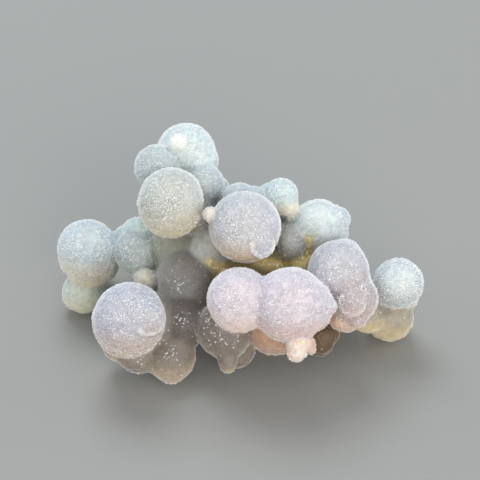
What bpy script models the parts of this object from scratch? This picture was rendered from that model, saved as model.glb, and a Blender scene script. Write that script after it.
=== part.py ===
"""A cluster of botryoidal chalcedony: round balls that grew into each other as one stone.

The balls are laid out on the show face, the side that the stone is shown from. A place there is
across (to the right), up (up the face) and out (towards the viewer), in millimetres. The face
leans back, so that the viewer looks down on the stone. A ball's radius reaches the tips of the fine
druse that coats it. Every ball is fused into one solid, which is cut flat underneath where it broke
off its host rock, and rests there.
"""

import math

import bmesh
import bpy
from mathutils import Matrix, Vector, noise

# Driving sizes, in millimetres and degrees
LEAN_DEG = 40.0
SCAR_HEIGHT = -9.8
WOBBLE = 0.025
WOBBLE_LENGTH = 2.6
GRID = 0.28
TRIANGLES = 9200
SMOOTH_ANGLE_DEG = 40.0
METRES_PER_MM = 0.001

# The pale crown, which rises at the back left, and the ringed ball in front of it
CROWN = {
    "crown": (-5.42, 8.8, -1.0, 3.0),
    "crown_right": (-4.0, 7.9, 0.0, 1.9),
    "crown_left": (-8.2, 7.2, 1.5, 2.35),
    "crown_root": (-3.55, 5.5, 1.0, 2.1),
    "crown_stalk": (-4.5, 3.0, 0.0, 2.6),
    "crown_back": (-7.0, 5.5, -3.5, 2.7),
    "crown_back_low": (-3.0, 4.5, -4.0, 2.3),
    "crown_nape": (-5.0, 8.0, -4.5, 2.4),
    "crown_pearl": (-6.12, 9.72, 2.15, 1.0),
    "ringed_ball": (-6.72, 3.95, 4.8, 3.22),
    "ringed_skirt": (-6.85, 3.2, 4.2, 3.08),
}

# The middle of the upper side: one large ball with low buds on it, and smaller ones behind
CENTRE = {
    "centre_ball": (0.5, 1.26, 5.5, 3.56),
    "centre_back": (-0.1, 3.95, 2.0, 1.8),
    "centre_back_right": (1.5, 3.9, 2.0, 1.5),
    "centre_ear": (4.06, 4.47, 1.5, 1.76),
    "centre_ear_low": (4.72, 3.38, 1.4, 1.1),
    "centre_root": (5.1, 0.55, 0.9, 1.5),
    "centre_root_low": (5.1, -0.55, 1.2, 1.45),
    "centre_disc": (1.8, 1.55, 6.7, 2.1),
    "centre_tongue": (1.9, 0.5, 7.6, 1.0),
    "centre_low_bud": (2.17, -0.5, 7.3, 1.1),
    "centre_left_bud": (-2.92, 2.5, 6.5, 0.8),
    "back_ear": (3.5, 3.8, -2.5, 2.2),
}

# The right side, from the upper ball round to the two at the far end
RIGHT = {
    "right_back": (7.78, 1.6, 0.5, 2.54),
    "right_back_bud": (9.8, 2.1, 0.7, 1.27),
    "right_back_low": (9.6, 0.6, 0.7, 1.3),
    "right_lilac": (9.62, -3.0, 4.5, 3.04),
    "right_shoulder": (10.4, -1.2, 4.0, 1.35),
    "right_waist": (10.5, -4.4, 5.0, 2.4),
    "right_lobe": (11.15, -5.75, 5.5, 2.42),
    "right_lobe_bud": (10.85, -6.05, 6.95, 1.25),
    "right_lobe_low": (11.4, -7.7, 6.2, 0.9),
    "right_chin": (10.3, -7.3, 4.3, 1.85),
    "right_stem": (10.5, -6.0, 0.0, 2.6),
    "right_end": (15.72, -4.3, 1.5, 2.56),
    "right_end_bud": (17.0, -6.35, 1.0, 0.65),
    "right_foot": (15.05, -7.72, -2.0, 2.57),
    "right_heel": (12.8, -7.4, 0.0, 2.0),
    "back_right_ear": (8.9, -0.6, -3.5, 2.2),
    "back_right_low": (10.2, -3.6, -4.0, 2.6),
}

# The lilac pair that stands out furthest, with a finger of stone that hangs from it
TWINS = {
    "twin_left": (-0.05, -5.8, 7.5, 3.22),
    "twin_right": (4.82, -6.25, 8.0, 3.7),
    "twin_point": (8.95, -6.4, 8.0, 0.45),
    "twin_point_root": (8.0, -6.3, 8.0, 1.25),
    "twin_shoulder": (7.5, -5.4, 8.0, 1.3),
    "twin_cheek": (7.55, -7.35, 8.0, 1.25),
    "twin_finger_top": (5.55, -9.75, 8.6, 1.08),
    "twin_finger_middle": (5.42, -10.45, 8.6, 1.0),
    "twin_finger_tip": (5.4, -10.98, 8.5, 0.9),
    "twin_nub_root": (6.6, -10.0, 8.0, 0.75),
    "twin_nub": (6.85, -10.6, 7.8, 0.52),
    "peach_belly": (3.55, -8.45, 3.0, 3.05),
    "front_knuckle": (8.0, -9.5, 1.2, 1.6),
    "knuckle_edge": (8.95, -9.25, 0.9, 1.1),
    "knuckle_low": (8.0, -10.35, 1.0, 1.3),
}

# The left arm, and the ball that stands out below it
LEFT = {
    "left_end": (-15.46, -0.98, -3.0, 3.12),
    "left_skirt": (-15.25, -1.85, -3.8, 2.97),
    "left_saddle": (-11.9, 0.6, -2.8, 0.85),
    "left_neck": (-10.5, -1.2, -1.5, 2.25),
    "left_neck_nub": (-9.45, -4.0, 0.3, 1.2),
    "left_neck_small_nub": (-9.95, -3.6, -0.4, 0.85),
    "left_back": (-10.2, 0.5, -2.6, 1.95),
    "left_foot": (-16.0, -5.3, -5.2, 2.28),
    "left_heel": (-14.4, -2.6, -7.9, 1.9),
    "back_left_low": (-9.6, -1.6, -7.4, 2.5),
    "front_left": (-10.74, -7.58, 6.0, 3.54),
    "front_left_skirt": (-11.0, -8.25, 5.2, 3.38),
    "front_left_bud": (-8.75, -7.6, 8.05, 1.45),
    "front_left_stem": (-9.0, -8.0, 2.5, 3.0),
    "front_toe": (-10.0, -11.1, 2.5, 2.2),
    "front_toe_left": (-12.0, -10.5, 2.1, 1.6),
}

# The shaded middle, and the heart that every branch grows from
CORE = {
    "core_upper": (-5.5, -3.9, 1.2, 2.75),
    "core_wall": (-6.4, -0.9, -0.8, 2.6),
    "core_window": (-2.8, -1.0, 1.0, 2.2),
    "core_middle": (-5.3, -6.0, 0.8, 2.6),
    "core_lower": (-5.6, -8.1, 2.3, 2.6),
    "core_front": (-1.5, -8.8, 4.0, 2.85),
    "core_foot": (-0.4, -10.9, 1.5, 2.0),
    "core_finger_top": (-1.2, -11.7, 4.6, 0.85),
    "core_finger_tip": (-1.2, -12.4, 4.5, 0.7),
    "front_foot": (-6.8, -11.6, 2.6, 2.5),
    "front_foot_tip": (-6.8, -13.15, 2.9, 0.85),
    "heart": (0.5, -3.5, -1.0, 4.2),
    "heart_left": (-5.5, -4.5, -2.0, 3.8),
    "heart_right": (6.5, -4.5, -1.0, 3.8),
    "heart_base": (1.0, -6.0, -5.0, 4.1),
    "heart_base_left": (-2.6, -5.6, -4.4, 3.4),
    "heart_base_right": (4.2, -6.2, -3.6, 3.3),
    "heart_base_front": (0.8, -7.6, -3.0, 3.0),
    "back_left_high": (-5.5, 1.5, -5.5, 3.2),
    "back_middle": (0.5, 1.0, -4.5, 3.3),
    "back_right_high": (6.0, 0.5, -4.5, 3.0),
    "back_foot_left": (-1.5, -2.4, -7.9, 2.6),
    "back_foot_right": (5.0, -2.4, -7.9, 2.6),
}


def clear_scene():
    for old in list(bpy.data.objects):
        bpy.data.objects.remove(old, do_unlink=True)


def on_stone(across, up, out):
    """A place on the show face, in the stone's own axes: X right, Y away from the viewer, Z up."""
    lean = math.radians(LEAN_DEG)
    return Vector((
        across,
        up * math.sin(lean) - out * math.cos(lean),
        up * math.cos(lean) + out * math.sin(lean),
    ))


def add_ball(stone, across, up, out, radius):
    """Adds one ball to the mesh, a little out of round, as the real ones are."""
    centre = on_stone(across, up, out)
    made = bmesh.ops.create_icosphere(
        stone, subdivisions=4, radius=radius, matrix=Matrix.Translation(centre)
    )
    for vertex in made["verts"]:
        swell = WOBBLE * noise.noise(vertex.co / WOBBLE_LENGTH)
        vertex.co += (vertex.co - centre) * swell


def loose_balls():
    """Every ball as its own closed shell, before they are fused."""
    stone = bmesh.new()
    for group in (CROWN, CENTRE, RIGHT, TWINS, LEFT, CORE):
        for across, up, out, radius in group.values():
            add_ball(stone, across, up, out, radius)
    mesh = bpy.data.meshes.new("loose_balls")
    stone.to_mesh(mesh)
    stone.free()
    return mesh


def evaluated(shape, modifiers):
    """The mesh that comes out of the modifiers, each given as its type and its settings."""
    for kind, settings in modifiers:
        modifier = shape.modifiers.new(kind.title(), kind)
        for name, value in settings.items():
            setattr(modifier, name, value)
    graph = bpy.context.evaluated_depsgraph_get()
    mesh = bpy.data.meshes.new_from_object(shape.evaluated_get(graph))
    shape.modifiers.clear()
    return mesh


def fuse(shape):
    """Melts the overlapping balls into one skin, then keeps the triangles that its shape needs."""
    shape.data = evaluated(shape, [
        ("REMESH", {"mode": "VOXEL", "voxel_size": GRID}),
        ("SMOOTH", {"factor": 0.5, "iterations": 2}),
        ("TRIANGULATE", {}),
    ])
    share = TRIANGLES / len(shape.data.polygons)
    shape.data = evaluated(shape, [("DECIMATE", {"ratio": share})])


def cut_scar(mesh):
    """Cuts the stone flat underneath, at the scar where it broke off its host rock."""
    stone = bmesh.new()
    stone.from_mesh(mesh)
    bmesh.ops.bisect_plane(
        stone,
        geom=stone.verts[:] + stone.edges[:] + stone.faces[:],
        plane_co=(0.0, 0.0, SCAR_HEIGHT),
        plane_no=(0.0, 0.0, -1.0),
        clear_outer=True,
    )
    rim = [edge for edge in stone.edges if edge.is_boundary]
    bmesh.ops.holes_fill(stone, edges=rim, sides=0)
    bmesh.ops.triangulate(stone, faces=stone.faces[:])
    bmesh.ops.recalc_face_normals(stone, faces=stone.faces[:])
    stone.to_mesh(mesh)
    stone.free()


def set_on_origin(mesh):
    """Moves the stone so that its box's bottom centre is the origin, and turns it into metres."""
    corners = [
        (min(places), max(places))
        for places in zip(*(vertex.co for vertex in mesh.vertices))
    ]
    (left, right), (front, back), (bottom, _) = corners
    base = Vector(((left + right) / 2, (front + back) / 2, bottom))
    mesh.transform(Matrix.Scale(METRES_PER_MM, 4) @ Matrix.Translation(-base))


def chalcedony():
    """Frosted, pale grey-lilac chalcedony."""
    material = bpy.data.materials.new("chalcedony")
    material.use_nodes = True
    surface = material.node_tree.nodes["Principled BSDF"]
    surface.inputs["Base Color"].default_value = (0.56, 0.54, 0.60, 1.0)
    surface.inputs["Roughness"].default_value = 0.45
    surface.inputs["Metallic"].default_value = 0.0
    return material


def build_cluster():
    cluster = bpy.data.objects.new("chalcedony_cluster", loose_balls())
    bpy.context.scene.collection.objects.link(cluster)
    fuse(cluster)
    cut_scar(cluster.data)
    set_on_origin(cluster.data)
    cluster.data.name = "chalcedony_cluster"
    cluster.data.shade_smooth()
    cluster.data.set_sharp_from_angle(angle=math.radians(SMOOTH_ANGLE_DEG))
    cluster.data.materials.clear()
    cluster.data.materials.append(chalcedony())
    return cluster


clear_scene()
build_cluster()
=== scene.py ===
"""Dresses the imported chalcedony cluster: its frosted balls, their coat of druse, and the light."""

import math

import bmesh
import bpy
import numpy as np
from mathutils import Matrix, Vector, noise


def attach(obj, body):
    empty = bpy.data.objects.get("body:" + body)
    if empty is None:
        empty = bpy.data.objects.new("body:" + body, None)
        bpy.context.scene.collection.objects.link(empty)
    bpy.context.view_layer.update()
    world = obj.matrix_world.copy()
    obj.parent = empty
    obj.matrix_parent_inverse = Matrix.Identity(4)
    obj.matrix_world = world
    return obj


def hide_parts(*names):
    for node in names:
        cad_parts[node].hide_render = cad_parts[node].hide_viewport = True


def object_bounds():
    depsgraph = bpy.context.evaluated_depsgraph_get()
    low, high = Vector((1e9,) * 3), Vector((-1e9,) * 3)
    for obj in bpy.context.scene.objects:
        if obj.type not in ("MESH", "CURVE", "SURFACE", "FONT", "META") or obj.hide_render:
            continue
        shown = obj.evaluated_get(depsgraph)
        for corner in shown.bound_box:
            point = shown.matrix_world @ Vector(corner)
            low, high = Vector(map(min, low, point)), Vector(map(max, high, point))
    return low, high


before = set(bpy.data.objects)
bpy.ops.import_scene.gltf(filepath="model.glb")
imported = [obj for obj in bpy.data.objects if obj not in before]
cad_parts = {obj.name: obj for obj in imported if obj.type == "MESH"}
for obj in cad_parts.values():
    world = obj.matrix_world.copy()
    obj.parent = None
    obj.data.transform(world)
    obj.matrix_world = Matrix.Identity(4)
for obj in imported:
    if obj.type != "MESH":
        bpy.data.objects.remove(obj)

solid_low, solid_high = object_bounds()
MM = 0.001


# The stone. One growth of pale chalcedony: round balls that fused as they grew, with small buds,
# skirts and hanging fingers, cut off flat underneath where it broke from its host rock. A ball is
# (across, up, out, radius) on the show face in millimetres, then its tint above and underneath. The
# two differ partly in the stone's own colour and partly by painted light, cool on top, warm below.
LEAN = math.radians(40.0)
SCAR_HEIGHT = -9.8
BALLS = {
    "crown": {
        "crown": (-5.42, 8.8, -1.0, 3.0, "mint", "sage"),
        "crown_right": (-4.0, 7.9, 0.0, 1.9, "mint", "slate_blue"),
        "crown_left": (-8.2, 7.2, 1.5, 2.35, "slate_blue", "sage"),
        "crown_root": (-3.55, 5.5, 1.0, 2.1, "slate_blue", "slate"),
        "crown_stalk": (-4.5, 3.0, 0.0, 2.6, "slate", "olive"),
        "crown_back": (-7.0, 5.5, -3.5, 2.7, "mint", "sage"),
        "crown_back_low": (-3.0, 4.5, -4.0, 2.3, "slate_blue", "sage"),
        "crown_nape": (-5.0, 8.0, -4.5, 2.4, "mint", "sage"),
        "crown_pearl": (-6.12, 9.72, 2.15, 1.0, "pearl", "pearl"),
        "ringed_ball": (-6.72, 3.95, 4.8, 3.22, "fog", "cream"),
        "ringed_skirt": (-6.85, 3.2, 4.2, 3.08, "fog", "cream"),
    },
    "centre": {
        "centre_ball": (0.5, 1.26, 5.5, 3.56, "mauve_fog", "biscuit"),
        "centre_back": (-0.1, 3.95, 2.0, 1.8, "slate_blue", "sand"),
        "centre_back_right": (1.5, 3.9, 2.0, 1.5, "slate_blue", "sand"),
        "centre_ear": (4.06, 4.47, 1.5, 1.76, "aqua", "ear_cream"),
        "centre_ear_low": (4.72, 3.38, 1.4, 1.1, "ear_cream", "ear_cream"),
        "centre_root": (5.1, 0.55, 0.9, 1.5, "slate_dim", "slate_dim"),
        "centre_root_low": (5.1, -0.55, 1.2, 1.45, "slate_dim", "smoke_olive"),
        "centre_disc": (1.8, 1.55, 6.7, 2.1, "lilac_fog", "mauve_fog"),
        "centre_tongue": (1.9, 0.5, 7.6, 1.0, "lilac_fog", "lilac_fog"),
        "centre_low_bud": (2.17, -0.5, 7.3, 1.1, "lilac_fog", "lilac_fog"),
        "centre_left_bud": (-2.92, 2.5, 6.5, 0.8, "bud_cream", "bud_cream"),
        "back_ear": (3.5, 3.8, -2.5, 2.2, "mint", "sage"),
    },
    "right": {
        "right_back": (7.78, 1.6, 0.5, 2.54, "mint", "pearl"),
        "right_back_bud": (9.8, 2.1, 0.7, 1.27, "ice", "mint"),
        "right_back_low": (9.6, 0.6, 0.7, 1.3, "frost", "pearl"),
        "right_lilac": (9.62, -3.0, 4.5, 3.04, "lilac_fog", "rose_fog"),
        "right_shoulder": (10.4, -1.2, 4.0, 1.35, "lilac_fog", "rose_fog"),
        "right_waist": (10.5, -4.4, 5.0, 2.4, "rose_fog", "rose_fog"),
        "right_lobe": (11.15, -5.75, 5.5, 2.42, "rose_fog", "rose"),
        "right_lobe_bud": (10.85, -6.05, 6.95, 1.25, "rose_fog", "rose"),
        "right_lobe_low": (11.4, -7.7, 6.2, 0.9, "rose_fog", "peach"),
        "right_chin": (10.3, -7.3, 4.3, 1.85, "peach", "peach"),
        "right_stem": (10.5, -6.0, 0.0, 2.6, "slate", "sand"),
        "right_end": (15.72, -4.3, 1.5, 2.56, "frost", "fog"),
        "right_end_bud": (17.0, -6.35, 1.0, 0.65, "fog", "cream"),
        "right_foot": (15.05, -7.72, -2.0, 2.57, "dun", "honey"),
        "right_heel": (12.8, -7.4, 0.0, 2.0, "dun", "honey"),
        "back_right_ear": (8.9, -0.6, -3.5, 2.2, "mint", "sage"),
        "back_right_low": (10.2, -3.6, -4.0, 2.6, "slate_blue", "sand"),
    },
    "twins": {
        "twin_left": (-0.05, -5.8, 7.5, 3.22, "lilac", "glow"),
        "twin_right": (4.82, -6.25, 8.0, 3.7, "lilac", "rose"),
        "twin_point": (8.95, -6.4, 8.0, 0.45, "pearl", "rose"),
        "twin_point_root": (8.0, -6.3, 8.0, 1.25, "lilac", "rose"),
        "twin_shoulder": (7.5, -5.4, 8.0, 1.3, "lilac", "rose"),
        "twin_cheek": (7.55, -7.35, 8.0, 1.25, "lilac", "rose"),
        "twin_finger_top": (5.55, -9.75, 8.6, 1.08, "pearl_peach", "peach"),
        "twin_finger_middle": (5.42, -10.45, 8.6, 1.0, "pearl_peach", "peach"),
        "twin_finger_tip": (5.4, -10.98, 8.5, 0.9, "pearl_peach", "pearl_peach"),
        "twin_nub_root": (6.6, -10.0, 8.0, 0.75, "rose", "peach"),
        "twin_nub": (6.85, -10.6, 7.8, 0.52, "rose", "peach"),
        "peach_belly": (3.55, -8.45, 3.0, 3.05, "peach_dim", "peach_dim"),
        "front_knuckle": (8.0, -9.5, 1.2, 1.6, "umber", "umber"),
        "knuckle_edge": (8.95, -9.25, 0.9, 1.1, "umber", "umber"),
        "knuckle_low": (8.0, -10.35, 1.0, 1.3, "umber", "umber"),
    },
    "left": {
        "left_end": (-15.46, -0.98, -3.0, 3.12, "ice", "straw"),
        "left_skirt": (-15.25, -1.85, -3.8, 2.97, "fog", "straw"),
        "left_saddle": (-11.9, 0.6, -2.8, 0.85, "ice", "ice"),
        "left_neck": (-10.5, -1.2, -1.5, 2.25, "slate_soft", "sage"),
        "left_neck_nub": (-9.45, -4.0, 0.3, 1.2, "nub", "nub"),
        "left_neck_small_nub": (-9.95, -3.6, -0.4, 0.85, "nub", "nub"),
        "left_back": (-10.2, 0.5, -2.6, 1.95, "teal", "slate_blue"),
        "left_foot": (-16.0, -5.3, -5.2, 2.28, "sage", "moss"),
        "left_heel": (-14.4, -2.6, -7.9, 1.9, "sage", "moss"),
        "back_left_low": (-9.6, -1.6, -7.4, 2.5, "fog", "sand"),
        "front_left": (-10.74, -7.58, 6.0, 3.54, "periwinkle", "shell"),
        "front_left_skirt": (-11.0, -8.25, 5.2, 3.38, "lilac_fog", "shell"),
        "front_left_bud": (-8.75, -7.6, 8.05, 1.45, "lilac_fog", "shell"),
        "front_left_stem": (-9.0, -8.0, 2.5, 3.0, "smoke", "taupe"),
        "front_toe": (-10.0, -11.1, 2.5, 2.2, "taupe", "taupe"),
        "front_toe_left": (-12.0, -10.5, 2.1, 1.6, "taupe", "sand"),
    },
    "core": {
        "core_upper": (-5.5, -3.9, 1.2, 2.75, "smoke_pale", "smoke"),
        "core_wall": (-6.4, -0.9, -0.8, 2.6, "smoke_olive", "smoke"),
        "core_window": (-2.8, -1.0, 1.0, 2.2, "window", "smoke"),
        "core_middle": (-5.3, -6.0, 0.8, 2.6, "smoke", "smoke"),
        "core_lower": (-5.6, -8.1, 2.3, 2.6, "soot", "soot"),
        "core_front": (-1.5, -8.8, 4.0, 2.85, "mauve_smoke", "taupe"),
        "core_foot": (-0.4, -10.9, 1.5, 2.0, "taupe", "taupe"),
        "core_finger_top": (-1.2, -11.7, 4.6, 0.85, "taupe", "taupe"),
        "core_finger_tip": (-1.2, -12.4, 4.5, 0.7, "taupe", "sand"),
        "front_foot": (-6.8, -11.6, 2.6, 2.5, "taupe", "sand"),
        "front_foot_tip": (-6.8, -13.15, 2.9, 0.85, "taupe", "sand"),
        "heart": (0.5, -3.5, -1.0, 4.2, "olive", "smoke"),
        "heart_left": (-5.5, -4.5, -2.0, 3.8, "smoke", "smoke"),
        "heart_right": (6.5, -4.5, -1.0, 3.8, "olive", "smoke"),
        "heart_base": (1.0, -6.0, -5.0, 4.1, "slate", "sand"),
        "heart_base_left": (-2.6, -5.6, -4.4, 3.4, "slate", "sand"),
        "heart_base_right": (4.2, -6.2, -3.6, 3.3, "slate", "sand"),
        "heart_base_front": (0.8, -7.6, -3.0, 3.0, "smoke", "sand"),
        "back_left_high": (-5.5, 1.5, -5.5, 3.2, "slate_blue", "sage"),
        "back_middle": (0.5, 1.0, -4.5, 3.3, "ice", "sage"),
        "back_right_high": (6.0, 0.5, -4.5, 3.0, "slate_blue", "sage"),
        "back_foot_left": (-1.5, -2.4, -7.9, 2.6, "fog", "sand"),
        "back_foot_right": (5.0, -2.4, -7.9, 2.6, "fog", "sand"),
    },
}

# Each tint is a colour of the chalcedony and the share of its skin that druse covers, first the
# cool ones, then lilac and rose, then the warm and the dark ones. The palest warm underside tints
# are lightened as a painted glow where light shines through, and the darkest are partly the
# stone's smoky colour, partly painted shade of the deep core, the knuckle, the belly and the feet.
TINTS = {
    "ice": ((0.64, 0.78, 0.86), 1.0),
    "mint": ((0.80, 0.94, 0.98), 1.0),
    "aqua": ((0.65, 0.83, 0.89), 1.0),
    "frost": ((0.76, 0.87, 0.92), 1.0),
    "teal": ((0.55, 0.70, 0.69), 0.6),
    "sage": ((0.66, 0.74, 0.68), 0.4),
    "slate_blue": ((0.58, 0.68, 0.72), 1.0),
    "slate": ((0.48, 0.51, 0.53), 0.9),
    "slate_soft": ((0.45, 0.53, 0.56), 1.0),
    "slate_dim": ((0.39, 0.42, 0.43), 0.4),
    "fog": ((0.63, 0.68, 0.66), 1.0),
    "pearl": ((0.90, 0.93, 0.88), 0.3),
    "window": ((0.55, 0.56, 0.53), 0.02),
    "lilac": ((0.80, 0.75, 0.86), 1.0),
    "lilac_fog": ((0.63, 0.65, 0.73), 1.0),
    "mauve_fog": ((0.65, 0.68, 0.74), 1.0),
    "periwinkle": ((0.58, 0.61, 0.72), 1.0),
    "rose_fog": ((0.54, 0.49, 0.52), 1.0),
    "rose": ((0.82, 0.57, 0.51), 0.6),
    # These two are lightened past the stone's colour as a painted glow of light through the
    # undersides.
    "glow": ((1.00, 0.76, 0.66), 0.08),
    "pearl_peach": ((1.00, 0.79, 0.69), 0.06),
    "bud_cream": ((0.80, 0.74, 0.67), 0.5),
    "ear_cream": ((0.92, 0.84, 0.68), 0.4),
    "cream": ((0.66, 0.57, 0.36), 0.3),
    # Lightened as a painted glow on the left end's shaded underside.
    "straw": ((1.00, 0.88, 0.62), 0.05),
    "moss": ((0.84, 0.80, 0.56), 0.1),
    "honey": ((0.78, 0.65, 0.35), 0.05),
    "sand": ((0.66, 0.53, 0.39), 0.25),
    "biscuit": ((0.60, 0.43, 0.25), 0.3),
    "shell": ((0.68, 0.52, 0.42), 0.25),
    "peach": ((0.76, 0.56, 0.44), 0.1),
    # Darkened as painted shade under the lilac pair.
    "peach_dim": ((0.56, 0.38, 0.27), 0.1),
    "nub": ((0.60, 0.60, 0.53), 0.35),
    "dun": ((0.37, 0.35, 0.30), 0.12),
    "olive": ((0.30, 0.24, 0.09), 0.05),
    # From here down: the core's smoky colours, darkened partly as painted shade of the deep core,
    # the shaded feet and the knuckle.
    "taupe": ((0.28, 0.24, 0.20), 0.1),
    "smoke": ((0.25, 0.24, 0.21), 0.05),
    "smoke_pale": ((0.29, 0.28, 0.26), 0.05),
    "smoke_olive": ((0.33, 0.34, 0.28), 0.05),
    "mauve_smoke": ((0.25, 0.21, 0.18), 0.5),
    "soot": ((0.14, 0.12, 0.11), 0.05),
    "umber": ((0.14, 0.09, 0.05), 0.05),
}

# The fused skin. Neighbours run into each other over the fillet, which widens towards the core.
# The skin lies under the crystals' tips by the druse's depth. All in millimetres.
GRID = 0.228
FILLET, CORE_FILLET, CORE_FADE = 0.16, 0.34, 1.0
DRUSE_DEPTH = 0.08
TINT_BLEND = 0.14
BALL_SUBDIVISIONS = 4
FITTING_ROUNDS, LEAST_STEEPNESS = 3, 0.4

rows = [(*ball, group) for group, balls in BALLS.items() for ball in balls.values()]
across, up, out, radii = np.array([row[:4] for row in rows]).T
ball_centres = np.stack(
    [
        across,
        up * math.sin(LEAN) - out * math.cos(LEAN),
        up * math.cos(LEAN) + out * math.sin(LEAN),
    ],
    axis=1,
)
top_tints = np.array([TINTS[row[4]][0] for row in rows])
low_tints = np.array([TINTS[row[5]][0] for row in rows])
top_druse = np.array([TINTS[row[4]][1] for row in rows])
low_druse = np.array([TINTS[row[5]][1] for row in rows])
patch_names = list(BALLS)
ball_patches = np.array([patch_names.index(row[6]) for row in rows])
in_core = ball_patches == patch_names.index("core")


def loose_balls():
    """Every ball as its own closed shell, not yet fused."""
    template = bmesh.new()
    bmesh.ops.create_icosphere(template, subdivisions=BALL_SUBDIVISIONS, radius=1.0)
    template.verts.ensure_lookup_table()
    shell = np.array([vertex.co for vertex in template.verts])
    faces = np.array([[vertex.index for vertex in face.verts] for face in template.faces])
    template.free()
    points = (shell[None] * radii[:, None, None] + ball_centres[:, None]).reshape(-1, 3)
    steps = (np.arange(len(radii)) * len(shell))[:, None, None]
    mesh = bpy.data.meshes.new("loose_balls")
    mesh.from_pydata(points.tolist(), [], (faces[None] + steps).reshape(-1, 3).tolist())
    return mesh


def places_of(mesh):
    places = np.empty(len(mesh.vertices) * 3)
    mesh.vertices.foreach_get("co", places)
    return places.reshape(-1, 3)


def ball_distances(points):
    """How far each point is from each ball's centre, and how far outside the ball."""
    reach = np.linalg.norm(points[:, None] - ball_centres[None], axis=2)
    return reach, reach - radii


def outside_stone(points):
    """How far each point is outside the fused stone, and the way straight out from it."""
    reach, gaps = ball_distances(points)
    nearest = gaps.min(axis=1)
    nearness = np.exp((nearest[:, None] - gaps) / CORE_FADE)
    core_share = nearness[:, in_core].sum(axis=1) / nearness.sum(axis=1)
    fillet = FILLET + (CORE_FILLET - FILLET) * core_share**2
    shares = np.exp((nearest[:, None] - gaps) / fillet[:, None])
    total = shares.sum(axis=1)
    pull = shares / reach / total[:, None]
    way_out = points * pull.sum(axis=1)[:, None] - pull @ ball_centres
    return nearest - fillet * np.log(total) + DRUSE_DEPTH, way_out


def fused_mesh():
    """One skin over all the balls, with every point drawn onto the fused surface."""
    shape = bpy.data.objects.new("fusing", loose_balls())
    bpy.context.scene.collection.objects.link(shape)
    melt = shape.modifiers.new("melt", "REMESH")
    melt.mode = "VOXEL"
    melt.voxel_size = GRID
    graph = bpy.context.evaluated_depsgraph_get()
    mesh = bpy.data.meshes.new_from_object(shape.evaluated_get(graph))
    bpy.data.objects.remove(shape)
    points = places_of(mesh)
    for _ in range(FITTING_ROUNDS):
        gap, way_out = outside_stone(points)
        steepness = np.maximum((way_out**2).sum(axis=1), LEAST_STEEPNESS)
        step = np.clip(gap / steepness, -0.5 * GRID, 0.5 * GRID)
        points -= step[:, None] * way_out
    return mesh, points


stone_mesh, stone_points = fused_mesh()
_, way_out = outside_stone(stone_points)
normals = way_out / np.linalg.norm(way_out, axis=1)[:, None]


# The skin as it grew. Slow swellings and a sugary grain lie all over it, growth ledges run round
# the undersides and the ringed ball, and ragged lips end a ball's later growth. Iron left an ochre
# stain in the deep gap. Painted highlights whiten the ledges' crests, the lips and the bud rims,
# painted shade darkens the bud grooves, a painted glow lightens the skin facing the front, and
# some points are painted white as glints. Lengths are in millimetres, and places across and up
# the show face.
SWELL_LENGTH, SWELL_HEIGHT = 1.9, 0.07
GRAIN_LENGTH, GRAIN_HEIGHT = 0.42, 0.06
LEDGE_SPACING, LEDGE_HEIGHT = 0.62, 0.07

# Each lip is where the first ball's coat ends on the second.
LIP_WIDTH, LIP_HEIGHT = 0.16, 0.12
LIPS = [
    ("ringed_ball", "ringed_skirt"),
    ("left_end", "left_skirt"),
    ("front_left", "front_left_skirt"),
    ("right_lobe", "right_chin"),
    ("right_end", "right_foot"),
    ("right_end", "right_heel"),
    ("right_end", "right_end_bud"),
    ("front_foot", "front_foot_tip"),
    ("right_back", "right_back_bud"),
    ("twin_finger_top", "twin_finger_middle"),
    ("twin_finger_middle", "twin_finger_tip"),
]

# Buds with a raised rim, whitened as a painted highlight, and a groove outside it, darkened as
# painted shade: the bearing of the rim's middle, half the angle that it spans, and how strong it is.
# A strong one also has a hollow, darkened with the groove. Where the rim, the groove and the hollow
# lie is in shares of the bud's radius.
BUDS = [
    ("centre_low_bud", -90.0, 120.0, 1.5),
    ("right_lobe_bud", -115.0, 115.0, 0.9),
    ("front_left_bud", -70.0, 75.0, 1.1),
]
RIM_AT, RIM_WIDTH, RIM_HEIGHT = 0.96, 0.13, 0.07
GROOVE_AT, GROOVE_WIDTH, GROOVE_DEPTH = 1.2, 0.11, 0.07
HOLLOW_EDGE, HOLLOW_FLOOR, HOLLOW_SHARE = 0.82, 0.6, 0.4
RIM_END_DEG = 20.0
# How white the painted highlights on the bud rims, the lips and the ledges' crests are.
RIM_PAINTED_HIGHLIGHT, LIP_PAINTED_HIGHLIGHT, LEDGE_PAINTED_HIGHLIGHT = 0.97, 0.95, 0.95

# Streaks of ochre, each from one end to the other, and the balls that they lie on.
VEINS = [
    ((-2.9, -2.3), (-1.9, -2.9)), ((1.8, -2.1), (2.8, -2.4)), ((2.8, -2.4), (4.3, -2.4)),
    ((5.5, -2.1), (6.2, -1.9)), ((6.6, -1.5), (6.8, -0.1)),
]
VEIN_BALLS = ("heart", "heart_right", "core_window", "right_back")
OCHRE = np.array([0.92, 0.74, 0.30])
STAIN_STRENGTH, STAIN_REACH = 0.75, 0.9
CRUST_REACH = 0.34

# Clusters where the druse grows thicker and many of its points are painted white as painted
# glints, each with its reach, and the share of single painted glints elsewhere, on skin facing up.
# Druse grows in clumps and ends a little above the scar.
SPARKLES = [
    (-6.1, -4.6, 1.5), (-5.6, -7.7, 1.4), (-6.6, -11.3, 1.4), (-2.9, -8.2, 1.0), (-1.6, -9.6, 1.3),
    (-2.6, 4.6, 1.2), (-3.9, 5.9, 1.0),
]
SPARKLE_DRUSE, SPARKLES_FROM = 0.7, -1.0
PAINTED_GLINT_SHARE, PAINTED_GLINT_LENGTH = 0.13, 0.45
CLUMP_LENGTH, LEAST_CLUMP = 0.9, 0.65
BARE_ABOVE_SCAR, SMOOTH_ABOVE_SCAR = 0.15, 0.3

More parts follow.
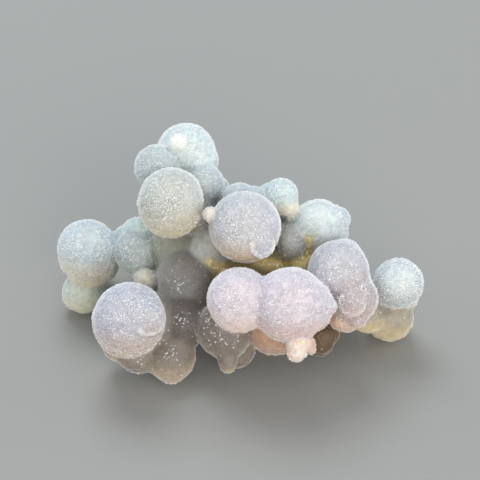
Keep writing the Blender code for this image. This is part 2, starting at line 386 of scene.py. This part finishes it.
# Mottles, each with its length and strength. Skin that faces the front is paler, most in red, as
# a painted glow of the light in front, and the palest skin is dimmed under its druse, so that the
# crystals stand out on it.
MOTTLES = [(0.75, 0.10), (0.36, 0.22)]
PAINTED_FRONT_GLOW, PAINTED_FRONT_GLOW_FROM = np.array([0.21, 0.15, 0.09]), 0.55
PALE_FROM, PALE_FULL, PALE_DIMMING = 0.62, 0.82, 0.08

# The ringed ball shows lines round a middle, out to a reach.
RING_MIDDLE, RING_STRETCH, RING_REACH = (-6.0, 3.9), 0.70, 2.6


def smooth_step(value, start, end):
    share = np.clip((value - start) / (end - start), 0.0, 1.0)
    return share * share * (3.0 - 2.0 * share)


def soft_noise(length):
    return np.array([noise.noise(Vector(place) / length) for place in stone_points])


face_across = stone_points[:, 0]
face_up = stone_points[:, 1] * math.sin(LEAN) + stone_points[:, 2] * math.cos(LEAN)
face_out = -stone_points[:, 1] * math.cos(LEAN) + stone_points[:, 2] * math.sin(LEAN)
ball_names = [name for balls in BALLS.values() for name in balls]
_, gaps = ball_distances(stone_points)
nearest = gaps.min(axis=1)
shares = np.exp((nearest[:, None] - gaps) / TINT_BLEND)
shares /= shares.sum(axis=1)[:, None]
# Each ball's tint turns from its top tint to its underside tint as the skin turns down. This is
# partly the stone's own colours and partly painted light: a cool light on top, a warm glow below.
underside = smooth_step(-normals[:, 2], -0.52, 0.58)
underside = np.clip(underside + 0.12 * soft_noise(2.4), 0.0, 1.0)
tint = (shares @ top_tints) * (1 - underside[:, None]) + (shares @ low_tints) * underside[:, None]
druse = (shares @ top_druse) * (1 - underside) + (shares @ low_druse) * underside
patch = ball_patches[gaps.argmin(axis=1)]
off_core = 1.0 - shares[:, in_core].sum(axis=1)

# The clusters thicken the druse. They and the patches on skin facing up, where light falls, mark
# where points are painted white as painted glints.
druse_clusters_and_painted_glints = np.zeros(len(stone_points))
for sparkle_across, sparkle_up, reach in SPARKLES:
    apart = np.hypot(face_across - sparkle_across, face_up - sparkle_up) / reach
    druse_clusters_and_painted_glints = np.maximum(druse_clusters_and_painted_glints, smooth_step(-apart, -1.0, -0.2) * (face_out > SPARKLES_FROM))
druse = np.maximum(druse, SPARKLE_DRUSE * druse_clusters_and_painted_glints)
painted_glint_patches = smooth_step(soft_noise(PAINTED_GLINT_LENGTH), -0.1, 0.4) * (1.0 - underside)
druse_clusters_and_painted_glints = np.maximum(druse_clusters_and_painted_glints, PAINTED_GLINT_SHARE * painted_glint_patches * off_core)
clumps = smooth_step(soft_noise(CLUMP_LENGTH), -0.25, 0.35)
druse *= LEAST_CLUMP + (1.0 - LEAST_CLUMP) * clumps
druse[stone_points[:, 2] < SCAR_HEIGHT + BARE_ABOVE_SCAR] = 0.0

vein = np.full(len(stone_points), 9.0)
for (start_across, start_up), (end_across, end_up) in VEINS:
    run = np.array([end_across - start_across, end_up - start_up])
    apart = np.stack([face_across - start_across, face_up - start_up], axis=1)
    along = np.clip(apart @ run / (run @ run), 0.0, 1.0)
    vein = np.minimum(vein, np.linalg.norm(apart - along[:, None] * run, axis=1))
vein_share = shares[:, [ball_names.index(name) for name in VEIN_BALLS]].sum(axis=1)
crust = smooth_step(-vein, -CRUST_REACH, -0.14) * vein_share * (face_out > 0.5)
crust *= smooth_step(soft_noise(0.7), -0.5, 0.0)
stain = STAIN_STRENGTH * smooth_step(-vein, -STAIN_REACH, -0.2) * vein_share
tint += (OCHRE - tint) * stain[:, None]
druse *= 1.0 - stain


def seam_of(first, second):
    """How near each point is to the line where two balls meet."""
    first, second = ball_names.index(first), ball_names.index(second)
    seam = np.exp(-(((gaps[:, first] - gaps[:, second]) / LIP_WIDTH) ** 2))
    return seam * smooth_step(-np.maximum(gaps[:, first], gaps[:, second]), -0.45, -0.05)


rim, groove = np.zeros((2, len(stone_points)))
for bud, middle_deg, half_deg, strength in BUDS:
    row = ball_names.index(bud)
    from_bud = np.hypot(face_across - across[row], face_up - up[row]) / radii[row]
    bearing = np.degrees(np.arctan2(face_up - up[row], face_across - across[row]))
    off_middle = np.abs((bearing - middle_deg + 180.0) % 360.0 - 180.0)
    here = smooth_step(-off_middle, -half_deg, RIM_END_DEG - half_deg)
    here *= strength * (patch == ball_patches[row]) * (face_out > out[row] - 0.6)
    rim = np.maximum(rim, np.exp(-(((from_bud - RIM_AT) / RIM_WIDTH) ** 2)) * here)
    groove = np.maximum(groove, np.exp(-(((from_bud - GROOVE_AT) / GROOVE_WIDTH) ** 2)) * here)
    hollow = smooth_step(-from_bud, -HOLLOW_EDGE, -HOLLOW_FLOOR) * (strength > 1.0)
    groove = np.maximum(groove, HOLLOW_SHARE * hollow * here)
rim *= 0.6 + 0.4 * smooth_step(soft_noise(0.5), -0.3, 0.3)
rim, groove = np.minimum(rim, 1.0), np.minimum(groove, 1.5)
# Painted shade: the grooves and hollows are darkened.
tint *= 1.0 - 0.18 * groove[:, None]
# Painted highlight: the bud rims are whitened.
tint += 0.9 * rim[:, None] * (RIM_PAINTED_HIGHLIGHT - tint)

lip = np.zeros(len(stone_points))
ragged = 0.5 + 0.5 * soft_noise(0.55) / 0.45
for upper, lower in LIPS:
    lip = np.maximum(lip, seam_of(upper, lower))
# Painted highlight: the tint whitens a little along each lip.
tint += 0.15 * lip[:, None] * (LIP_PAINTED_HIGHLIGHT - tint)
lip = np.maximum(lip * np.clip(ragged, 0.0, 1.0), 0.6 * rim)
mottling = sum(strength * soft_noise(length) for length, strength in MOTTLES)
tint *= 1.0 + mottling[:, None]
# Painted glow: skin that faces the camera and the front light is lightened, most in red.
facing = normals @ np.array([0.0, -math.cos(LEAN), math.sin(LEAN)])
painted_front_glow = smooth_step(facing, PAINTED_FRONT_GLOW_FROM, 1.0) * off_core
tint *= 1.0 + painted_front_glow[:, None] * PAINTED_FRONT_GLOW
pale = smooth_step(tint.mean(axis=1), PALE_FROM, PALE_FULL)
tint *= 1.0 - PALE_DIMMING * (pale * druse)[:, None]

ringed = ball_names.index("ringed_ball")
ring_side = (face_across - RING_MIDDLE[0]) / RING_STRETCH
ring_apart = np.hypot(ring_side, face_up - RING_MIDDLE[1]) + 0.6 * soft_noise(1.1)
ring_share = shares[:, ringed] * smooth_step(-ring_apart, -RING_REACH, -1.5) * (face_out > 4.0)
level = stone_points[:, 2] + 0.3 * soft_noise(1.7) + 0.12 * soft_noise(0.6)
band = np.where(ring_share > 0.01, ring_apart, level)
banding = np.maximum(ring_share, 0.8 * smooth_step(underside, 0.45, 0.9))
banding *= smooth_step(soft_noise(1.2), -0.45, 0.2)
banding[ring_share > 0.01] *= 0.6

grain = np.array([noise.voronoi(Vector(place) / GRAIN_LENGTH)[0][0] for place in stone_points])
grain = 1.0 - np.clip(grain / 0.75, 0.0, 1.0) ** 2
relief = SWELL_HEIGHT * soft_noise(SWELL_LENGTH) + LIP_HEIGHT * lip
relief += RIM_HEIGHT * rim - GROOVE_DEPTH * groove
relief += GRAIN_HEIGHT * (grain - 0.5) * (0.15 + 0.85 * druse)
ledge_rise = (stone_points[:, 2] + 0.4 * soft_noise(1.3)) / LEDGE_SPACING % 1.0
ledged = smooth_step(underside, 0.4, 0.85) * off_core
ledged[stone_points[:, 2] < SCAR_HEIGHT + SMOOTH_ABOVE_SCAR] = 0.0
relief += LEDGE_HEIGHT * ledged * (0.5 - ledge_rise + 1.6 * soft_noise(0.42))
# Painted highlight: the crest of each ledge is whitened.
ledge_painted_highlight = ledged * smooth_step(-ledge_rise, -0.35, 0.0)
tint += 0.35 * ledge_painted_highlight[:, None] * (LEDGE_PAINTED_HIGHLIGHT - tint)
stone_points += normals * relief[:, None]
stone_points[:, 2] = np.maximum(stone_points[:, 2], SCAR_HEIGHT)

# The layout's zero point goes where the balls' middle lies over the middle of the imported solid.
layout_low = (ball_centres - radii[:, None]).min(axis=0)
layout_high = (ball_centres + radii[:, None]).max(axis=0)
layout_middle = (layout_low + layout_high) / 2 * MM
solid_middle = (np.array(solid_low) + np.array(solid_high)) / 2
zero = np.array([
    solid_middle[0] - layout_middle[0],
    solid_middle[1] - layout_middle[1],
    solid_low[2] - SCAR_HEIGHT * MM,
])
stone_mesh.vertices.foreach_set("co", (stone_points * MM + zero).ravel())
stone_mesh.update()
colours = stone_mesh.attributes.new("tint", "FLOAT_COLOR", "POINT")
colours.data.foreach_set("color", np.c_[tint, np.ones(len(tint))].ravel())
# In the milk layer the points are less milky on the undersides, a painted shade where less light
# falls.
for name, values in (
    ("druse", druse), ("band", band), ("banding", banding), ("lip", lip), ("crust", crust),
    ("druse_clusters_and_painted_glints", druse_clusters_and_painted_glints), ("milk", 0.72 + 0.28 * pale - 0.5 * underside),
):
    layer = stone_mesh.attributes.new(name, "FLOAT", "POINT")
    layer.data.foreach_set("value", values)
layer = stone_mesh.attributes.new("patch", "INT", "POINT")
layer.data.foreach_set("value", patch)
stone_mesh.shade_smooth()


def new_material(name):
    material = bpy.data.materials.new(name)
    material.use_nodes = True
    tree = material.node_tree
    return material, tree, tree.nodes["Principled BSDF"]


def add_node(tree, kind, inputs=None, **settings):
    """One node with its settings, its fixed inputs and the sockets that feed it."""
    node = tree.nodes.new(kind)
    for name, value in settings.items():
        setattr(node, name, value)
    for name, value in (inputs or {}).items():
        if isinstance(value, bpy.types.NodeSocket):
            tree.links.new(value, node.inputs[name])
        else:
            node.inputs[name].default_value = value
    return node


def new_group(name, kind, inputs, output, output_kind):
    """A node tree and its input sockets. Each input is named, with the kind of its socket."""
    tree = bpy.data.node_groups.new(name, kind)
    for label, socket in inputs.items():
        tree.interface.new_socket(label, in_out="INPUT", socket_type="NodeSocket" + socket)
    tree.interface.new_socket(output, in_out="OUTPUT", socket_type="NodeSocket" + output_kind)
    return tree, add_node(tree, "NodeGroupInput").outputs


def sum_of(tree, operation, *values, **settings):
    """The result of one sum on numbers or sockets."""
    inputs = dict(enumerate(values))
    sum_node = add_node(tree, "ShaderNodeMath", inputs, operation=operation, **settings)
    return sum_node.outputs["Value"]


def fitted(tree, value, low, high):
    """A value from nought to one, drawn out or squeezed to run from low to high."""
    ends = {"Value": value, "To Min": low, "To Max": high}
    return add_node(tree, "ShaderNodeMapRange", ends).outputs["Result"]


def scaled(tree, vector, share):
    """A colour or a vector times one number."""
    inputs = {0: vector, "Scale": share}
    return add_node(tree, "ShaderNodeVectorMath", inputs, operation="SCALE").outputs["Vector"]


def skin_value(tree, name, data_type="FLOAT"):
    """What the skin's named layer holds, in a tree of geometry nodes."""
    reader = add_node(
        tree, "GeometryNodeInputNamedAttribute", {"Name": name}, data_type=data_type
    )
    return reader.outputs["Attribute"]


LINE_SPACING = 0.34
LINE_WHITENESS = 0.16


def growth_lines(tree):
    """A wave that rises and falls with the growth lines, as strong as they show here."""
    if tree.type == "GEOMETRY":
        band, banding = skin_value(tree, "band"), skin_value(tree, "banding")
    else:
        band, banding = (
            add_node(tree, "ShaderNodeAttribute", attribute_name=name).outputs["Fac"]
            for name in ("band", "banding")
        )
    turns = sum_of(tree, "MULTIPLY", band, 2.0 * math.pi / LINE_SPACING)
    return sum_of(tree, "MULTIPLY", sum_of(tree, "SINE", turns), banding)


def frost_group():
    """Whitens a tint with grains of frost, and with a painted rim light where the skin is seen
    edge-on.
    """
    tree, given = new_group(
        "frost",
        "ShaderNodeTree",
        {
            "Tint": "Color", "Grain": "Float", "Painted rim light": "Float", "Lines": "Float",
            "Skin normal": "Vector",
        },
        "Color",
        "Color",
    )
    # Painted rim light: the tint whitens where the skin is seen edge-on.
    facing = add_node(
        tree, "ShaderNodeLayerWeight", {"Blend": 0.5, "Normal": given["Skin normal"]}
    ).outputs["Facing"]
    edge = add_node(
        tree,
        "ShaderNodeMapRange",
        {"Value": facing, "From Min": 0.52, "From Max": 0.84, "To Max": given["Painted rim light"]},
    ).outputs["Result"]
    lines = given["Lines"]
    share = sum_of(tree, "MAXIMUM", given["Grain"], edge)
    share = sum_of(tree, "MULTIPLY_ADD", lines, LINE_WHITENESS, share, use_clamp=True)
    shade = sum_of(tree, "MULTIPLY_ADD", lines, LINE_WHITENESS, 1.0)
    shaded = scaled(tree, given["Tint"], shade)
    milk = add_node(tree, "ShaderNodeMix", {0: 0.15}, data_type="RGBA")
    milk.inputs[6].default_value = (1.0, 1.0, 1.0, 1.0)
    tree.links.new(given["Tint"], milk.inputs[7])
    white = add_node(tree, "ShaderNodeMix", {0: share}, data_type="RGBA")
    tree.links.new(shaded, white.inputs[6])
    tree.links.new(milk.outputs[2], white.inputs[7])
    add_node(tree, "NodeGroupOutput", {"Color": white.outputs[2]})
    return tree


frost = frost_group()
SHADE_UNDER_DRUSE = 0.84


def frosted_chalcedony():
    """Milky stone that light sinks into, under a fine white frost with a painted rim light at its
    edges.
    """
    material, tree, surface = new_material("frosted_chalcedony")
    place = add_node(tree, "ShaderNodeTexCoord").outputs["Object"]
    tint = add_node(tree, "ShaderNodeAttribute", attribute_name="tint").outputs["Color"]
    druse = add_node(tree, "ShaderNodeAttribute", attribute_name="druse").outputs["Fac"]
    tint = scaled(tree, tint, fitted(tree, druse, 1.0, SHADE_UNDER_DRUSE))
    grains = add_node(tree, "ShaderNodeTexVoronoi", {"Vector": place, "Scale": 5200.0})
    grain = add_node(
        tree,
        "ShaderNodeMapRange",
        {"Value": grains.outputs["Distance"], "From Min": 0.32, "From Max": 0.1, "To Max": 0.6},
    ).outputs["Result"]
    grain = sum_of(tree, "MULTIPLY", grain, druse)
    skin = add_node(tree, "ShaderNodeNewGeometry").outputs["Normal"]
    frosted = add_node(tree, "ShaderNodeGroup", node_tree=frost)
    lines = growth_lines(tree)
    sockets = {"Tint": tint, "Grain": grain, "Lines": lines, "Skin normal": skin}
    for name, socket in sockets.items():
        tree.links.new(socket, frosted.inputs[name])
    # The body's painted rim light is strongest where the druse is thick.
    tree.links.new(fitted(tree, druse, 0.06, 0.75), frosted.inputs["Painted rim light"])
    tree.links.new(frosted.outputs["Color"], surface.inputs["Base Color"])
    height = sum_of(tree, "MULTIPLY_ADD", lines, -0.25, grains.outputs["Distance"])
    bump = add_node(
        tree,
        "ShaderNodeBump",
        {"Height": height, "Strength": 0.8, "Distance": 0.00008},
        invert=True,
    )
    tree.links.new(bump.outputs["Normal"], surface.inputs["Normal"])
    surface.inputs["Roughness"].default_value = 0.42
    surface.inputs["Subsurface Weight"].default_value = 0.8
    surface.inputs["Subsurface Radius"].default_value = (1.0, 0.80, 0.65)
    surface.inputs["Subsurface Scale"].default_value = 0.0018
    surface.inputs["Sheen Weight"].default_value = 0.8
    surface.inputs["Sheen Roughness"].default_value = 0.3
    return material


stone = bpy.data.objects.new("frosted_stone", stone_mesh)
bpy.context.scene.collection.objects.link(stone)
stone_mesh.materials.clear()
chalcedony = frosted_chalcedony()
stone_mesh.materials.append(chalcedony)
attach(stone, "root")
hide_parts("chalcedony_cluster")


# The druse. A sugar coat of tiny six-sided quartz points that grew out of the stone's skin,
# thickest on top of the balls and thin underneath. Each patch of the stone has its own coat.
POINT_SIDES = 6
POINT_WIDTH, POINT_LENGTH = 0.25 * MM, 0.14 * MM
POINT_SUNK = 0.045 * MM
POINT_SPACING = 0.17 * MM
POINTS_PER_MM2 = 78.0
LEAST_POINT, LARGEST_POINT = 0.93, 1.18
FEW_LARGE, FEW_MILKY = 4.0, 1.25
# Shares of points painted white as painted glints: few outside the clusters, more inside.
PAINTED_GLINT_FROM, PAINTED_GLINT_IN_CLUSTER = 0.99, 0.68
POINT_LEAN = 0.4
SIXTH_TURN = 1.05
# How white the painted glints are.
PAINTED_GLINT_WHITENESS = 0.7
BARE_BELOW_LINE = -0.3
DRUSE_SEED = 11


def grown_on_stone(name, tree, values):
    """The plain mesh that a growth tree makes on the stone, as its own piece."""
    piece = bpy.data.objects.new(name, stone_mesh)
    bpy.context.scene.collection.objects.link(piece)
    grow = piece.modifiers.new("grow", "NODES")
    grow.node_group = tree
    for socket in tree.interface.items_tree:
        if socket.in_out == "INPUT" and socket.name in values:
            grow[socket.identifier] = values[socket.name]
    graph = bpy.context.evaluated_depsgraph_get()
    mesh = bpy.data.meshes.new_from_object(piece.evaluated_get(graph))
    piece.modifiers.clear()
    piece.data = mesh
    return piece


def seed_after(tree, seed, steps):
    return add_node(
        tree, "FunctionNodeIntegerMath", {0: seed, 1: steps}, operation="ADD"
    ).outputs["Value"]


def druse_tree():
    """Quartz points, spread as thickly as the druse grows there, each a little out of line."""
    tree, given = new_group(
        "druse",
        "GeometryNodeTree",
        {
            "Stone": "Geometry", "Patch": "Int", "Spacing": "Float", "Most per m2": "Float",
            "Point width": "Float", "Point length": "Float", "Sunk": "Float", "Seed": "Int",
            "Material": "Material",
        },
        "Druse",
        "Geometry",
    )
    here = add_node(
        tree, "FunctionNodeCompare", {2: skin_value(tree, "patch", "INT"), 3: given["Patch"]},
        data_type="INT", operation="EQUAL",
    ).outputs["Result"]
    spread = add_node(
        tree,
        "GeometryNodeDistributePointsOnFaces",
        {
            "Mesh": given["Stone"],
            "Selection": here,
            "Distance Min": given["Spacing"],
            "Density Max": given["Most per m2"],
            "Density Factor": skin_value(tree, "druse"),
            "Seed": given["Seed"],
        },
        distribute_method="POISSON",
    )
    half = sum_of(tree, "MULTIPLY", given["Point width"], 0.5)
    cone = add_node(
        tree,
        "GeometryNodeMeshCone",
        {
            "Vertices": POINT_SIDES,
            "Side Segments": 1,
            "Radius Top": 0.0,
            "Radius Bottom": half,
            "Depth": given["Point length"],
        },
        fill_type="NGON",
    )
    down = sum_of(tree, "MULTIPLY", given["Sunk"], -1.0)
    lowered = add_node(tree, "ShaderNodeCombineXYZ", {"Z": down}).outputs["Vector"]
    point = add_node(
        tree,
        "GeometryNodeTransform",
        {"Geometry": cone.outputs["Mesh"], "Translation": lowered},
    ).outputs["Geometry"]
    tilt = add_node(
        tree,
        "FunctionNodeRandomValue",
        {
            "Min": (-POINT_LEAN, -POINT_LEAN, 0.0),
            "Max": (POINT_LEAN, POINT_LEAN, SIXTH_TURN),
            "Seed": given["Seed"],
        },
        data_type="FLOAT_VECTOR",
    ).outputs["Value"]
    turned = add_node(
        tree,
        "FunctionNodeRotateRotation",
        {
            "Rotation": spread.outputs["Rotation"],
            "Rotate By": add_node(
                tree, "FunctionNodeEulerToRotation", {"Euler": tilt}
            ).outputs["Rotation"],
        },
        rotation_space="LOCAL",
    ).outputs["Rotation"]
    # Luck makes a point larger and milkier, and the luckiest are painted white as painted glints in
    # the glint clusters and patches.
    luck = add_node(
        tree,
        "FunctionNodeRandomValue",
        {"Seed": seed_after(tree, given["Seed"], 1)},
        data_type="FLOAT",
    ).outputs[1]
    size = fitted(tree, sum_of(tree, "POWER", luck, FEW_LARGE), LEAST_POINT, LARGEST_POINT)
    clear = sum_of(tree, "POWER", luck, FEW_MILKY)
    milky = sum_of(tree, "MULTIPLY", clear, skin_value(tree, "milk"))
    threshold = fitted(tree, skin_value(tree, "druse_clusters_and_painted_glints"), PAINTED_GLINT_FROM, PAINTED_GLINT_IN_CLUSTER)
    painted_glint = sum_of(tree, "GREATER_THAN", luck, threshold)
    painted_glint = sum_of(tree, "MULTIPLY", painted_glint, PAINTED_GLINT_WHITENESS)
    milk_and_painted_glint = sum_of(tree, "MAXIMUM", milky, painted_glint)
    marked = add_node(
        tree,
        "GeometryNodeStoreNamedAttribute",
        {"Geometry": spread.outputs["Points"], "Name": "milk_and_painted_glint", "Value": milk_and_painted_glint},
        data_type="FLOAT",
        domain="POINT",
    ).outputs["Geometry"]
    marked = add_node(
        tree,
        "GeometryNodeStoreNamedAttribute",
        {"Geometry": marked, "Name": "skin_normal", "Value": spread.outputs["Normal"]},
        data_type="FLOAT_VECTOR",
        domain="POINT",
    ).outputs["Geometry"]
    on_line = add_node(
        tree,
        "FunctionNodeCompare",
        {0: growth_lines(tree), 1: BARE_BELOW_LINE},
        data_type="FLOAT",
        operation="GREATER_THAN",
    ).outputs["Result"]
    grown = add_node(
        tree,
        "GeometryNodeInstanceOnPoints",
        {
            "Points": marked,
            "Selection": on_line,
            "Instance": point,
            "Rotation": turned,
            "Scale": size,
        },
    ).outputs["Instances"]
    real = add_node(
        tree, "GeometryNodeRealizeInstances", {"Geometry": grown}
    ).outputs["Geometry"]
    flat = add_node(
        tree, "GeometryNodeSetShadeSmooth", {"Geometry": real, "Shade Smooth": False}
    ).outputs["Geometry"]
    finished = add_node(
        tree,
        "GeometryNodeSetMaterial",
        {"Geometry": flat, "Material": given["Material"]},
    ).outputs["Geometry"]
    add_node(tree, "NodeGroupOutput", {"Druse": finished})
    return tree


def quartz_druse():
    """Clear to milky quartz points, coloured by the chalcedony that shows through them, with painted
    glints on the luckiest and a painted rim light where the skin is seen edge-on.
    """
    material, tree, surface = new_material("quartz_druse")
    tint = add_node(tree, "ShaderNodeAttribute", attribute_name="tint").outputs["Color"]
    milk_and_painted_glint = add_node(tree, "ShaderNodeAttribute", attribute_name="milk_and_painted_glint").outputs["Fac"]
    skin = add_node(tree, "ShaderNodeAttribute", attribute_name="skin_normal").outputs["Vector"]
    glassy = scaled(tree, tint, 0.96)
    frosted = add_node(tree, "ShaderNodeGroup", node_tree=frost)
    lines = growth_lines(tree)
    sockets = {"Tint": glassy, "Grain": milk_and_painted_glint, "Lines": lines, "Skin normal": skin}
    for name, socket in sockets.items():
        tree.links.new(socket, frosted.inputs[name])
    # The points carry a strong painted rim light.
    frosted.inputs["Painted rim light"].default_value = 0.95
    tree.links.new(frosted.outputs["Color"], surface.inputs["Base Color"])
    facet = add_node(tree, "ShaderNodeNewGeometry").outputs["Normal"]
    softened = add_node(tree, "ShaderNodeMix", {0: 0.3}, data_type="VECTOR")
    tree.links.new(facet, softened.inputs[4])
    tree.links.new(skin, softened.inputs[5])
    tree.links.new(softened.outputs[1], surface.inputs["Normal"])
    surface.inputs["Sheen Weight"].default_value = 0.6
    surface.inputs["Sheen Roughness"].default_value = 0.3
    surface.inputs["Roughness"].default_value = 0.27
    surface.inputs["IOR"].default_value = 1.54
    surface.inputs["Specular IOR Level"].default_value = 0.7
    return material


growth = druse_tree()
point_finish = quartz_druse()
for number, patch_name in enumerate(patch_names):
    coat = grown_on_stone(f"{patch_name}_druse", growth, {
        "Patch": number,
        "Spacing": POINT_SPACING,
        "Most per m2": POINTS_PER_MM2 / MM**2,
        "Point width": POINT_WIDTH,
        "Point length": POINT_LENGTH,
        "Sunk": POINT_SUNK,
        "Seed": DRUSE_SEED + number,
        "Material": point_finish,
    })
    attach(coat, "root")


# The lips. Beads of the same chalcedony, in ragged rows where a ball's later growth ended and along
# the rims of three buds. They are part of the growth.
FULL_TURN = 6.28
LEAST_STRETCH, MOST_STRETCH = 0.55, 1.35
LIP_BEAD, LIP_BEAD_SPACING, LIP_BEAD_SUNK = 0.14 * MM, 0.17 * MM, 0.04 * MM
LIP_BEADS_PER_MM2 = 30.0
LIP_SEED = 3


def bead_tree():
    """Small lumps, spread where the named value is high, each turned and stretched by chance."""
    tree, given = new_group(
        "beads",
        "GeometryNodeTree",
        {
            "Stone": "Geometry", "Where": "String", "Spacing": "Float", "Most per m2": "Float",
            "Radius": "Float", "Sunk": "Float", "Seed": "Int", "Material": "Material",
        },
        "Beads",
        "Geometry",
    )
    spread = add_node(
        tree,
        "GeometryNodeDistributePointsOnFaces",
        {
            "Mesh": given["Stone"],
            "Distance Min": given["Spacing"],
            "Density Max": given["Most per m2"],
            "Density Factor": skin_value(tree, given["Where"]),
            "Seed": given["Seed"],
        },
        distribute_method="POISSON",
    )
    inwards = sum_of(tree, "MULTIPLY", given["Sunk"], -1.0)
    sink = scaled(tree, spread.outputs["Normal"], inwards)
    marked = add_node(
        tree,
        "GeometryNodeStoreNamedAttribute",
        {
            "Geometry": spread.outputs["Points"],
            "Name": "skin_normal",
            "Value": spread.outputs["Normal"],
        },
        data_type="FLOAT_VECTOR",
        domain="POINT",
    ).outputs["Geometry"]
    rooted = add_node(
        tree, "GeometryNodeSetPosition", {"Geometry": marked, "Offset": sink}
    ).outputs["Geometry"]
    lump = add_node(
        tree, "GeometryNodeMeshUVSphere", {"Segments": 8, "Rings": 5, "Radius": given["Radius"]}
    ).outputs["Mesh"]
    turn = add_node(
        tree,
        "FunctionNodeRandomValue",
        {"Min": (0.0, 0.0, 0.0), "Max": (FULL_TURN,) * 3, "Seed": given["Seed"]},
        data_type="FLOAT_VECTOR",
    ).outputs["Value"]
    stretch = add_node(
        tree,
        "FunctionNodeRandomValue",
        {
            "Min": (LEAST_STRETCH,) * 3,
            "Max": (MOST_STRETCH,) * 3,
            "Seed": seed_after(tree, given["Seed"], 1),
        },
        data_type="FLOAT_VECTOR",
    ).outputs["Value"]
    grown = add_node(
        tree,
        "GeometryNodeInstanceOnPoints",
        {"Points": rooted, "Instance": lump, "Rotation": turn, "Scale": stretch},
    ).outputs["Instances"]
    real = add_node(
        tree, "GeometryNodeRealizeInstances", {"Geometry": grown}
    ).outputs["Geometry"]
    finished = add_node(
        tree, "GeometryNodeSetMaterial", {"Geometry": real, "Material": given["Material"]}
    ).outputs["Geometry"]
    add_node(tree, "NodeGroupOutput", {"Beads": finished})
    return tree


beads = bead_tree()
lips = grown_on_stone("ragged_lips", beads, {
    "Where": "lip",
    "Spacing": LIP_BEAD_SPACING,
    "Most per m2": LIP_BEADS_PER_MM2 / MM**2,
    "Radius": LIP_BEAD,
    "Sunk": LIP_BEAD_SUNK,
    "Seed": LIP_SEED,
    "Material": point_finish,
})
lips.data.shade_smooth()
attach(lips, "root")


# The ochre. A crumbly crust of iron stain that settled in the deep gap behind the lilac pair and
# grew on to the stone there, in the same lumps as the lips.
CRUMB, CRUMB_SPACING = 0.15 * MM, 0.14 * MM
CRUMBS_PER_MM2 = 60.0
CRUMB_SEED = 5


def ochre_crust():
    """Dull, earthy gold, from straw to brown."""
    material, tree, surface = new_material("ochre_crust")
    place = add_node(tree, "ShaderNodeTexCoord").outputs["Object"]
    patches = add_node(
        tree, "ShaderNodeTexNoise", {"Vector": place, "Scale": 2600.0, "Detail": 2.0}
    )
    shades = add_node(tree, "ShaderNodeValToRGB", {"Fac": patches.outputs["Fac"]})
    shades.color_ramp.elements[0].position = 0.35
    shades.color_ramp.elements[0].color = (0.72, 0.54, 0.22, 1.0)
    shades.color_ramp.elements[1].position = 0.62
    shades.color_ramp.elements[1].color = (1.0, 0.92, 0.58, 1.0)
    tree.links.new(shades.outputs["Color"], surface.inputs["Base Color"])
    surface.inputs["Roughness"].default_value = 0.6
    return material


crumbs = grown_on_stone("ochre_crumbs", beads, {
    "Where": "crust",
    "Spacing": CRUMB_SPACING,
    "Most per m2": CRUMBS_PER_MM2 / MM**2,
    "Radius": CRUMB,
    "Sunk": 0.0,
    "Seed": CRUMB_SEED,
    "Material": ochre_crust(),
})
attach(crumbs, "root")


# The table that the stone lies on. A plain, matt, pale grey top, wide enough to fill the view
# behind the stone.
TABLE_HALF = 0.6
table_mesh = bpy.data.meshes.new("table_top")
table_mesh.from_pydata(
    [(-TABLE_HALF, -TABLE_HALF, 0), (TABLE_HALF, -TABLE_HALF, 0),
     (TABLE_HALF, TABLE_HALF, 0), (-TABLE_HALF, TABLE_HALF, 0)],
    [],
    [(0, 1, 2, 3)],
)
table = bpy.data.objects.new("table_top", table_mesh)
bpy.context.scene.collection.objects.link(table)
material, tree, surface = new_material("matt_pale_grey")
surface.inputs["Base Color"].default_value = (0.33, 0.333, 0.322, 1.0)
surface.inputs["Roughness"].default_value = 0.7
table_mesh.materials.append(material)


# The light. A cool soft panel above and behind the stone, a broader warm one low in front of it and
# a weak one at each side, all turned to its middle, in a dim, even sky.
AIM = (0.0, 0.0, 0.008)
WHITE, COOL, WARM = (1.0, 1.0, 1.0), (0.92, 0.97, 1.0), (1.0, 0.93, 0.86)
SKY, SKY_STRENGTH = (0.9, 0.95, 1.0, 1.0), 0.54


def add_panel(name, place, size, power, colour):
    light = bpy.data.lights.new(name, "AREA")
    light.shape = "SQUARE"
    light.size = size
    light.energy = power
    light.color = colour
    panel = bpy.data.objects.new(name, light)
    panel.location = place
    panel.rotation_euler = (Vector(AIM) - Vector(place)).to_track_quat("-Z", "Y").to_euler()
    bpy.context.scene.collection.objects.link(panel)


add_panel("overhead_panel", (-0.05, 0.17, 0.32), size=0.20, power=0.68, colour=COOL)
add_panel("front_panel", (0.12, -0.38, 0.13), size=0.40, power=1.4, colour=WARM)
add_panel("left_panel", (-0.32, 0.06, 0.08), size=0.16, power=0.22, colour=WHITE)
add_panel("right_panel", (0.32, 0.06, 0.08), size=0.16, power=0.22, colour=WHITE)
world = bpy.data.worlds.new("studio")
world.use_nodes = True
sky = world.node_tree.nodes["Background"]
sky.inputs["Color"].default_value = SKY
sky.inputs["Strength"].default_value = SKY_STRENGTH
bpy.context.scene.world = world


# The camera. It looks down on the show face, square to it, from 220 mm away, and the view is 48 mm
# wide there.
SIGHT = 0.220
FRAME_WIDTH = 0.048
SENSOR_WIDTH = 36.0
lens = bpy.data.cameras.new("camera")
lens.sensor_width = SENSOR_WIDTH
lens.lens = SENSOR_WIDTH * SIGHT / FRAME_WIDTH
lens.clip_start = 0.01
lens.clip_end = 10.0
camera = bpy.data.objects.new("camera", lens)
aim = Vector(zero)
camera.location = aim + SIGHT * Vector((0.0, -math.cos(LEAN), math.sin(LEAN)))
camera.rotation_euler = (aim - camera.location).to_track_quat("-Z", "Y").to_euler()
bpy.context.scene.collection.objects.link(camera)
bpy.context.scene.camera = camera
bpy.context.scene.view_settings.view_transform = "Standard"
